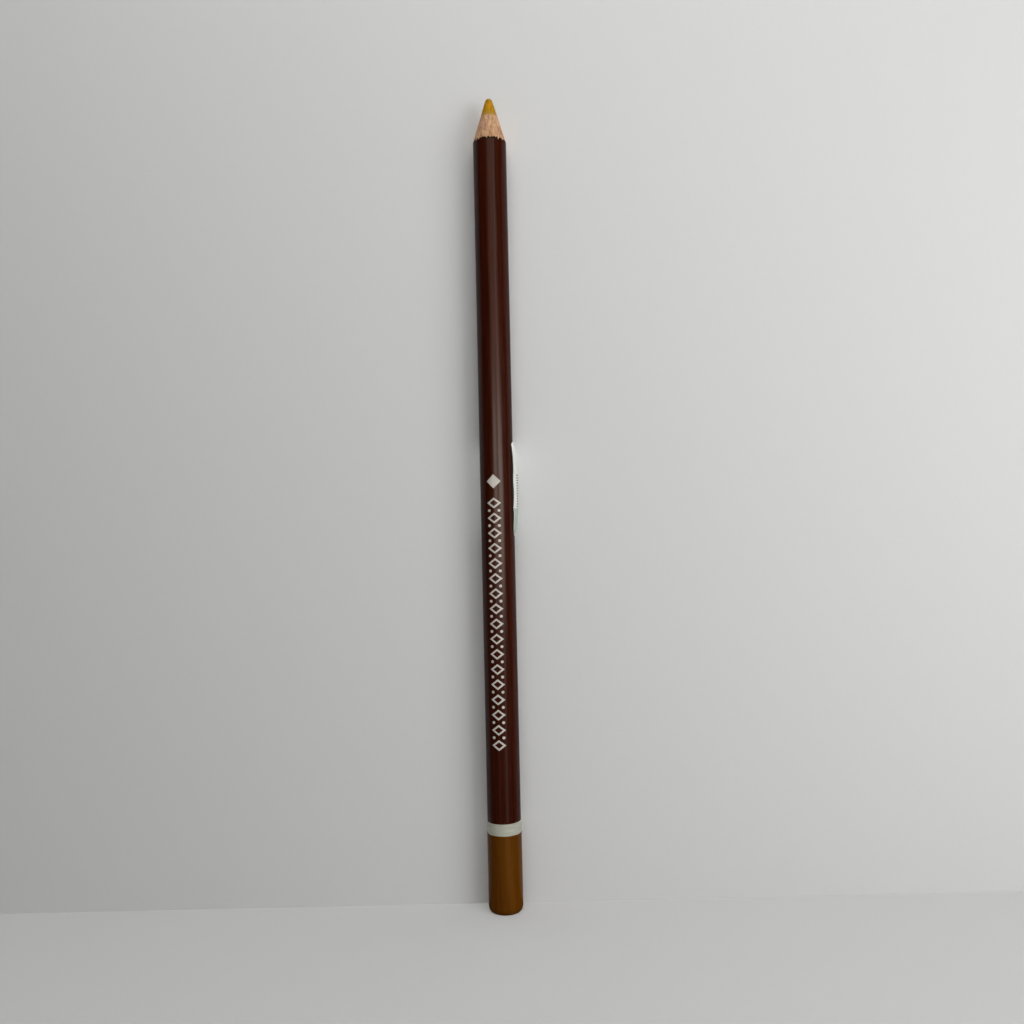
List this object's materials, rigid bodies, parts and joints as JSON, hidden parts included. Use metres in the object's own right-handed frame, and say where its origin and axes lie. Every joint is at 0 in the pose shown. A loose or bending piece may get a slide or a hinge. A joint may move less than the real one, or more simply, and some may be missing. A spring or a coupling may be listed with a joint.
{
  "type": "pastel pencil",
  "caption": "Round wood-cased pastel pencil, sharpened, with a soft ochre core, brown lacquer, a white band and a dipped end.",
  "frame": {"origin": "centre of the flat butt, where the pencil stands", "axes": "+Z along the pencil from the butt to the point; -Y is the front, with the stamped row; the label's free edge is at +X"},
  "size_m": [0.0082, 0.0074, 0.175],
  "materials": {
    "ochre_pastel": "matte",
    "cedar": "matte",
    "brown_lacquer": "gloss",
    "ochre_dip": "gloss",
    "white_paint": "satin",
    "white_foil": "satin",
    "label_paper": "satin"
  },
  "bodies": {
    "root": {"pastel_core": "ochre_pastel", "front_slat": "cedar", "back_slat": "cedar", "brown_lacquer": "brown_lacquer", "end_dip": "ochre_dip", "white_band": "white_paint", "stamped_row": "white_foil", "paper_label": "label_paper"}
  },
  "joints": []
}
